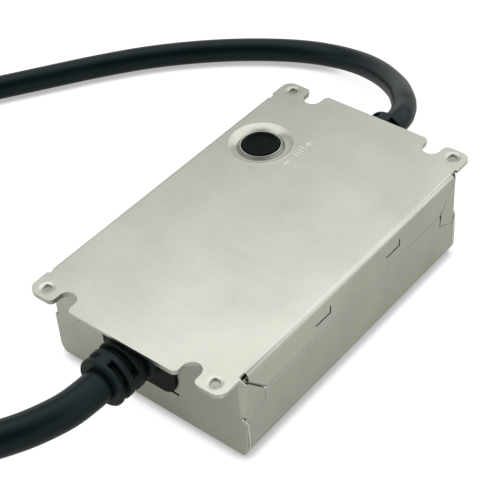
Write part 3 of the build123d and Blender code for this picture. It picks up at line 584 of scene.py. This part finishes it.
def corner_copies():
    """Tree that mirrors one corner's shape to all four corners, about a middle that need not be zero."""
    tree, given = new_growth("corner_copies", Middle="NodeSocketVector", Material="NodeSocketMaterial")
    joined = tree.nodes.new("GeometryNodeJoinGeometry")
    for side, end in ((1, 1), (-1, 1), (1, -1), (-1, -1)):
        shift = add_node(
            tree, "ShaderNodeVectorMath", {"operation": "MULTIPLY", 1: (1 - side, 1 - end, 0)},
            {0: given["Middle"]},
        )
        copy = add_node(
            tree, "GeometryNodeTransform", {"Scale": (side, end, 1)},
            {"Geometry": given["Geometry"], "Translation": shift.outputs["Vector"]},
        ).outputs["Geometry"]
        if side != end:
            copy = add_node(tree, "GeometryNodeFlipFaces", {}, {"Mesh": copy}).outputs["Mesh"]
        tree.links.new(copy, joined.inputs["Geometry"])
    return paint_out(tree, joined.outputs["Geometry"], given["Material"])


def round_ridges():
    """Tree that gives lines of edges a round section, and closes its ends."""
    tree, given = new_growth("round_ridges", Radius="NodeSocketFloat", Material="NodeSocketMaterial")
    path = add_node(tree, "GeometryNodeMeshToCurve", {}, {"Mesh": given["Geometry"]})
    section = add_node(
        tree, "GeometryNodeCurvePrimitiveCircle", {"Resolution": ridge_sides}, {"Radius": given["Radius"]}
    )
    ridge = add_node(
        tree, "GeometryNodeCurveToMesh", {"Fill Caps": True},
        {"Curve": path.outputs["Curve"], "Profile Curve": section.outputs["Curve"]},
    )
    return paint_out(tree, ridge.outputs["Mesh"], given["Material"])


def grow(name, mesh, *steps):
    """Object from a mesh after one or more trees, each given with the values of its named inputs."""
    piece = bpy.data.objects.new(name, mesh)
    bpy.context.collection.objects.link(piece)
    for tree, values in steps:
        growth = piece.modifiers.new(tree.name, "NODES")
        growth.node_group = tree
        for socket in tree.interface.items_tree:
            if socket.in_out == "INPUT" and socket.name in values:
                growth[socket.identifier] = values[socket.name]
    grown = bpy.data.meshes.new_from_object(piece.evaluated_get(bpy.context.evaluated_depsgraph_get()))
    piece.modifiers.clear()
    piece.data = grown
    return piece


def edge_lines(name, lines):
    """Mesh of edges alone, one run of them for each list of points."""
    mesh = bpy.data.meshes.new(name)
    points = [point for line in lines for point in line]
    edges = []
    start = 0
    for line in lines:
        edges += [(start + step, start + step + 1) for step in range(len(line) - 1)]
        start += len(line)
    mesh.from_pydata(points, edges, [])
    return mesh


def gusset_line(radius, heights):
    """Points round one upright corner at a radius from its bend's centre, one for each height."""
    turns = [radians(-90 + 90 * step / gusset_steps) for step in range(gusset_steps + 1)]
    return [
        (gusset_centre_x + radius * cos(turn), gusset_centre_y + radius * sin(turn), height)
        for turn, height in zip(turns, heights)
    ]


gusset_floor = [gusset_bottom] * (gusset_steps + 1)
gusset_slope = []
for step in range(gusset_steps + 1):
    share = min(max((step - gusset_level) / (gusset_steps - gusset_level), 0), 1)
    gusset_slope.append(gusset_top + (gusset_tip - gusset_top) * share)
gusset_shape = bmesh.new()
loops = []
for radius, heights in (
    (gusset_radius, gusset_floor), (gusset_radius, gusset_slope),
    (gusset_radius - gusset_sheet, gusset_slope), (gusset_radius - gusset_sheet, gusset_floor),
):
    loops.append([gusset_shape.verts.new(point) for point in gusset_line(radius, heights)])
for first, second in zip(loops, loops[1:] + loops[:1]):
    for step in range(gusset_steps):
        gusset_shape.faces.new((first[step], first[step + 1], second[step + 1], second[step]))
for step in (0, gusset_steps):
    gusset_shape.faces.new([loop[step] for loop in loops])
bmesh.ops.recalc_face_normals(gusset_shape, faces=gusset_shape.faces)
gusset_mesh = bpy.data.meshes.new("corner_gusset")
gusset_shape.to_mesh(gusset_mesh)
gusset_shape.free()

corner_tree = corner_copies()
ridge_tree = round_ridges()
gussets = grow("corner_gussets", gusset_mesh, (corner_tree, {"Material": tray_steel}))
gussets.data.shade_smooth()
gussets.data.set_sharp_from_angle(angle=smooth_below)
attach(gussets, "driver")

# Painted highlight: the burrs' steel is brighter than the tray's.
burr_painted_highlight = finish(
    "burr_painted_highlight", [], (0.84, 0.85, 0.80), (0.95, 0.96, 0.91), 0.0004, 0.34, metallic=1.0
)
gusset_rim = gusset_line(gusset_radius - rim_inset, gusset_slope)[rim_start:]
burrs = grow(
    "corner_burrs", edge_lines("corner_burrs", [seam_burr, gusset_rim]),
    (corner_tree, {"Material": burr_painted_highlight}),
    (ridge_tree, {"Radius": burr_radius, "Material": burr_painted_highlight}),
)
burrs.data.shade_smooth()
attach(burrs, "driver")

# Plain adjuster marks, pressed up out of the cover beside the plug: a minus, a rising scale of
# ticks and a plus. Their steel is brighter than the plate's, a painted highlight.
mark_x = -0.0085
mark_radius, mark_sink = 0.0002, 0.0001
minus_start, minus_end = 0.0218, 0.0240
tick_count, tick_start, tick_pitch = 4, 0.0272, 0.0012
tick_half, tick_growth = 0.0008, 0.0002
plus_y, plus_half = 0.0331, 0.0012
# Painted highlight: the marks' steel is brighter than the plate's.
marks_painted_highlight = finish(
    "marks_painted_highlight", [], (0.76, 0.77, 0.71), (0.88, 0.89, 0.83), 0.0004, 0.34, metallic=1.0
)
mark_strokes = [((0, minus_start), (0, minus_end))]
for step in range(tick_count):
    half = tick_half + tick_growth * step
    tick_y = tick_start + tick_pitch * step
    mark_strokes.append(((-half, tick_y), (half, tick_y)))
mark_strokes.append(((0, plus_y - plus_half), (0, plus_y + plus_half)))
mark_strokes.append(((-plus_half, plus_y), (plus_half, plus_y)))
mark_lines = [[(mark_x + x, y, plate_top - mark_sink) for x, y in stroke] for stroke in mark_strokes]
marks = grow(
    "adjuster_marks", edge_lines("adjuster_marks", mark_lines),
    (ridge_tree, {"Radius": mark_radius, "Material": marks_painted_highlight}),
)
marks.data.shade_smooth()
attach(marks, "driver")

# Liner: a tray of thin grey plastic sheet that keeps the board off the steel. Its lips show in
# the lower corners of both cut-outs, past the round corners of the strain reliefs' blocks.
lip_front, lip_sheet = 0.04625, 0.0003
lip_radius, lip_steps = 0.0046, 8
lip_left, lip_right, lip_bottom = -0.0136, 0.0102, 0.0101
block_bottom = 0.0095
liner_plastic = finish(
    "liner_plastic", ["insulation_liner"], (0.36, 0.37, 0.34), (0.42, 0.43, 0.40), 0.004, 0.45
)
lip_outline = [(lip_right, lip_bottom), (lip_right, block_bottom + lip_radius)]
for step in range(1, lip_steps):
    turn = radians(90 * step / lip_steps)
    lip_outline.append((
        lip_right - lip_radius * (1 - cos(turn)),
        max(block_bottom + lip_radius * (1 - sin(turn)), lip_bottom),
    ))
lip_shape = bmesh.new()
ring = [lip_shape.verts.new((x, lip_front, z)) for x, z in lip_outline]
sheet = bmesh.ops.extrude_face_region(lip_shape, geom=[lip_shape.faces.new(ring)])
moved = [part for part in sheet["geom"] if isinstance(part, bmesh.types.BMVert)]
bmesh.ops.translate(lip_shape, verts=moved, vec=(0, -lip_sheet, 0))
bmesh.ops.recalc_face_normals(lip_shape, faces=lip_shape.faces)
lip_mesh = bpy.data.meshes.new("liner_lip")
lip_shape.to_mesh(lip_mesh)
lip_shape.free()
lips = grow(
    "liner_lips", lip_mesh,
    (corner_tree, {"Middle": ((lip_left + lip_right) / 2, 0, 0), "Material": liner_plastic}),
)
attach(lips, "driver")

# What the case holds: the board on its thermal pad, with wound, moulded and sleeved parts soldered
# to it and the power parts clipped to their bar. Each piece keeps its solid's shape.
finish("board", ["circuit_board"], (0.035, 0.110, 0.040), (0.050, 0.150, 0.055), 0.002, 0.35)
finish("pad", ["thermal_pad"], (0.30, 0.33, 0.37), (0.36, 0.39, 0.43), 0.0008, 0.75)
finish(
    "ferrite", ["transformer_core_near", "transformer_core_far", "choke_core"],
    (0.050, 0.050, 0.055), (0.085, 0.085, 0.090), 0.0004, 0.60,
)
finish("bobbin_plastic", ["transformer_bobbin"], (0.020, 0.020, 0.021), (0.030, 0.030, 0.031), 0.0006, 0.50)
finish("winding_tape", ["transformer_winding"], (0.70, 0.52, 0.05), (0.80, 0.62, 0.08), 0.003, 0.30)
finish(
    "copper_wire", ["choke_winding_1", "choke_winding_2"],
    (0.55, 0.22, 0.10), (0.68, 0.32, 0.15), 0.0012, 0.32, metallic=1.0,
)
finish(
    "can_sleeve", ["bulk_capacitor", "output_capacitor_1", "output_capacitor_2"],
    (0.035, 0.045, 0.080), (0.050, 0.060, 0.105), 0.005, 0.28,
)
finish("film_box", ["film_capacitor"], (0.55, 0.42, 0.06), (0.62, 0.50, 0.09), 0.0008, 0.42)
finish("disc_coat", ["safety_capacitor", "varistor"], (0.05, 0.14, 0.40), (0.07, 0.18, 0.48), 0.0015, 0.35)
finish(
    "moulded_black", ["bridge_rectifier", "switching_transistor", "output_diode", "control_chip"],
    (0.018, 0.018, 0.019), (0.028, 0.028, 0.029), 0.0003, 0.62,
)
finish("bar_aluminium", ["heat_bar"], (0.62, 0.62, 0.63), (0.74, 0.74, 0.75), 0.0006, 0.38, metallic=1.0)
finish(
    "clip_steel", ["clip_transistor", "clip_diode"],
    (0.50, 0.50, 0.50), (0.62, 0.62, 0.62), 0.0005, 0.35, metallic=1.0,
)
finish("fuse_sleeve", ["fuse"], (0.06, 0.18, 0.08), (0.09, 0.24, 0.11), 0.001, 0.40)
finish("trimmer_blue", ["trimmer_body"], (0.03, 0.11, 0.38), (0.04, 0.14, 0.46), 0.0008, 0.35)
finish("rotor_white", ["trimmer_rotor"], (0.76, 0.76, 0.72), (0.84, 0.84, 0.80), 0.0006, 0.40)

# Leads and cores: stranded copper in coloured plastic. The leads run from the strain reliefs to
# the board, and the cores come out of the cords' far ends with their last stretch stripped.
core_length = 0.01795
insulation_shade = 0.85
strand_scale = 500.0
strand_dark, strand_light = (0.30, 0.13, 0.06, 1), (0.78, 0.42, 0.24, 1)
core_colours = {
    "brown": (0.150, 0.050, 0.020), "blue": (0.040, 0.130, 0.420), "green": (0.300, 0.420, 0.040),
    "red": (0.480, 0.020, 0.020), "black": (0.020, 0.020, 0.022),
}
lead_nodes = {
    "brown": "input_lead_line", "blue": "input_lead_neutral", "green": "input_lead_earth",
    "red": "output_lead_plus", "black": "output_lead_minus",
}
core_nodes = {
    "brown": ("input_core_line", input_route), "blue": ("input_core_neutral", input_route),
    "green": ("input_core_earth", input_route), "red": ("output_core_plus", output_route),
    "black": ("output_core_minus", output_route),
}


def bare_strands(material, route):
    """Turns the far end of a core's material into twisted bright copper strands."""
    tree = material.node_tree
    shader = tree.nodes["Principled BSDF"]
    ahead = (Vector(route[-1]) - Vector(route[-2])).normalized()
    stripped_from = ahead.dot(Vector(route[-1])) + core_length
    place = add_node(tree, "ShaderNodeTexCoord").outputs["Object"]
    bare = reckon(tree, "GREATER_THAN", against(tree, "DOT_PRODUCT", place, ahead), stripped_from)
    twist = add_node(
        tree, "ShaderNodeTexWave",
        {"wave_type": "BANDS", "bands_direction": "DIAGONAL", "Scale": strand_scale}, {"Vector": place},
    )
    copper = add_node(
        tree, "ShaderNodeMix", {"data_type": "RGBA", 6: strand_dark, 7: strand_light},
        {0: twist.outputs["Fac"]},
    )
    painted = shader.inputs["Base Color"].links[0].from_socket
    surface = add_node(
        tree, "ShaderNodeMix", {"data_type": "RGBA"}, {0: bare, 6: painted, 7: copper.outputs[2]}
    )
    tree.links.new(surface.outputs[2], shader.inputs["Base Color"])
    tree.links.new(bare, shader.inputs["Metallic"])


for name, colour in core_colours.items():
    shaded = [part * insulation_shade for part in colour]
    finish("lead_" + name, [lead_nodes[name]], shaded, colour, 0.0009, 0.38)
    core, route = core_nodes[name]
    bare_strands(finish("core_" + name, [core], shaded, colour, 0.0009, 0.38), route)

# Floor of white paper. The camera sees it as a white glow with soft painted shadows, darkened by
# ambient occlusion near the object, over a faint diffuse part that keeps the real shadow. The steel
# mirrors it at the paler grey that it has under the tent.
floor_reach, floor_drop = 4, 0.00005
contact_reach, overhang_reach = 0.0026, 0.008
contact_shade, contact_clear, overhang_shade = 0.50, 0.96, 0.88
paper_colour, paper_roughness = (0.92, 0.92, 0.92, 1), 0.9
mirrored_colour, mirrored_glow, glow_strength = (0.37, 0.38, 0.355, 1), (1.0, 1.0, 0.95, 1), 0.18
faint_colour = (0.14, 0.14, 0.14, 1)
floor = bpy.data.objects.new("floor", bpy.data.meshes.new("floor"))
floor_corners = [(x * floor_reach, y * floor_reach, 0) for x, y in ((-1, -1), (1, -1), (1, 1), (-1, 1))]
floor.data.from_pydata(floor_corners, [], [(0, 1, 2, 3)])
floor.location.z = -floor_drop
bpy.context.collection.objects.link(floor)
floor_paper, tree, shader = new_material("floor_paper")
shader.inputs["Base Color"].default_value = paper_colour
shader.inputs["Roughness"].default_value = paper_roughness
shader.inputs["Specular IOR Level"].default_value = 0.0
ray = add_node(tree, "ShaderNodeLightPath")
dim = add_node(tree, "ShaderNodeBsdfDiffuse", {"Color": mirrored_colour})
glow = add_node(tree, "ShaderNodeEmission", {"Color": mirrored_glow, "Strength": glow_strength})
mirrored = add_node(tree, "ShaderNodeAddShader", {}, {0: dim.outputs["BSDF"], 1: glow.outputs["Emission"]})
# Painted shadow: the camera's white glow is darkened where the floor is enclosed near the object.
contact = add_node(tree, "ShaderNodeAmbientOcclusion", {"samples": 16, "Distance": contact_reach})
overhang = add_node(tree, "ShaderNodeAmbientOcclusion", {"samples": 16, "Distance": overhang_reach})
contact_light = fade(tree, contact.outputs["AO"], 0.45, 0.95, contact_shade, contact_clear)
overhang_light = fade(tree, overhang.outputs["AO"], 0.30, 0.80, overhang_shade, 1.0)
lit = reckon(tree, "MULTIPLY", contact_light, overhang_light)
lift = add_node(tree, "ShaderNodeEmission", {"Color": (1.0, 1.0, 1.0, 1)}, {"Strength": lit})
faint = add_node(tree, "ShaderNodeBsdfDiffuse", {"Color": faint_colour})
white = add_node(tree, "ShaderNodeAddShader", {}, {0: faint.outputs["BSDF"], 1: lift.outputs["Emission"]})
plain = add_node(
    tree, "ShaderNodeMixShader", {},
    {0: ray.outputs["Is Camera Ray"], 1: shader.outputs["BSDF"], 2: white.outputs["Shader"]},
)
mix = add_node(
    tree, "ShaderNodeMixShader", {},
    {0: ray.outputs["Is Glossy Ray"], 1: plain.outputs["Shader"], 2: mirrored.outputs["Shader"]},
)
tree.links.new(mix.outputs["Shader"], tree.nodes["Material Output"].inputs["Surface"])
floor.data.materials.append(floor_paper)

# Studio: a white tent under a softbox. Mirror-like faces see its even roof, with a bright band and
# a dark one round the roof's lower left side, its bright right wall, and its dark opening
# toward the camera.
tent_lean, tent_strength = (0.5, 0.0, 0.866), 1.56
tent_tones = ((0.0, 0.50), (0.12, 0.30), (0.22, 0.09), (0.40, 1.0), (0.45, 0.84), (0.86, 0.76))
right_start, right_end, right_level = 0.40, 0.78, 0.92
opening_aim, opening_level = (0.42, -0.63, 0.653), 0.04
opening_start, opening_end = 0.50, 0.95
plain_level = 0.8
softbox_place, softbox_width, softbox_watts = (-0.05, 0.05, 0.9), 1.0, 3.5
world = bpy.data.worlds.new("studio")
bpy.context.scene.world = world
world.use_nodes = True
sky = world.node_tree
aim = add_node(sky, "ShaderNodeTexCoord").outputs["Generated"]
tent = add_node(sky, "ShaderNodeValToRGB", {}, {"Fac": against(sky, "DOT_PRODUCT", aim, tent_lean)})
for stop, tone in tent_tones[1:-1]:
    tent.color_ramp.elements.new(stop)
for element, (stop, tone) in zip(tent.color_ramp.elements, tent_tones):
    element.position = stop
    element.color = (tone, tone, tone, 1)
walls = reckon(sky, "MULTIPLY", tent.outputs["Color"], tent_strength)
heading = add_node(sky, "ShaderNodeSeparateXYZ", {}, {"Vector": aim})
right_side = fade(sky, heading.outputs["X"], right_start, right_end, smooth=True)
level = add_node(sky, "ShaderNodeMix", {"data_type": "FLOAT", 3: right_level}, {0: right_side, 2: walls})
toward_opening = against(sky, "DOT_PRODUCT", aim, opening_aim)
shade = fade(sky, toward_opening, opening_start, opening_end, 1.0, opening_level, smooth=True)
mirrored = reckon(sky, "MULTIPLY", level.outputs[0], shade)
ray = add_node(sky, "ShaderNodeLightPath")
bright = add_node(
    sky, "ShaderNodeMix", {"data_type": "FLOAT", 2: plain_level},
    {0: ray.outputs["Is Glossy Ray"], 3: mirrored},
)
sky.nodes["Background"].inputs["Color"].default_value = (1.0, 1.0, 1.0, 1)
sky.links.new(bright.outputs[0], sky.nodes["Background"].inputs["Strength"])
softbox = bpy.data.objects.new("overhead", bpy.data.lights.new("overhead", "AREA"))
softbox.data.size = softbox_width
softbox.data.energy = softbox_watts
softbox.visible_glossy = False
softbox.location = softbox_place
softbox.rotation_mode = "QUATERNION"
softbox.rotation_quaternion = Vector(softbox_place).to_track_quat("Z", "Y")
bpy.context.collection.objects.link(softbox)
bpy.context.scene.view_settings.view_transform = "Standard"
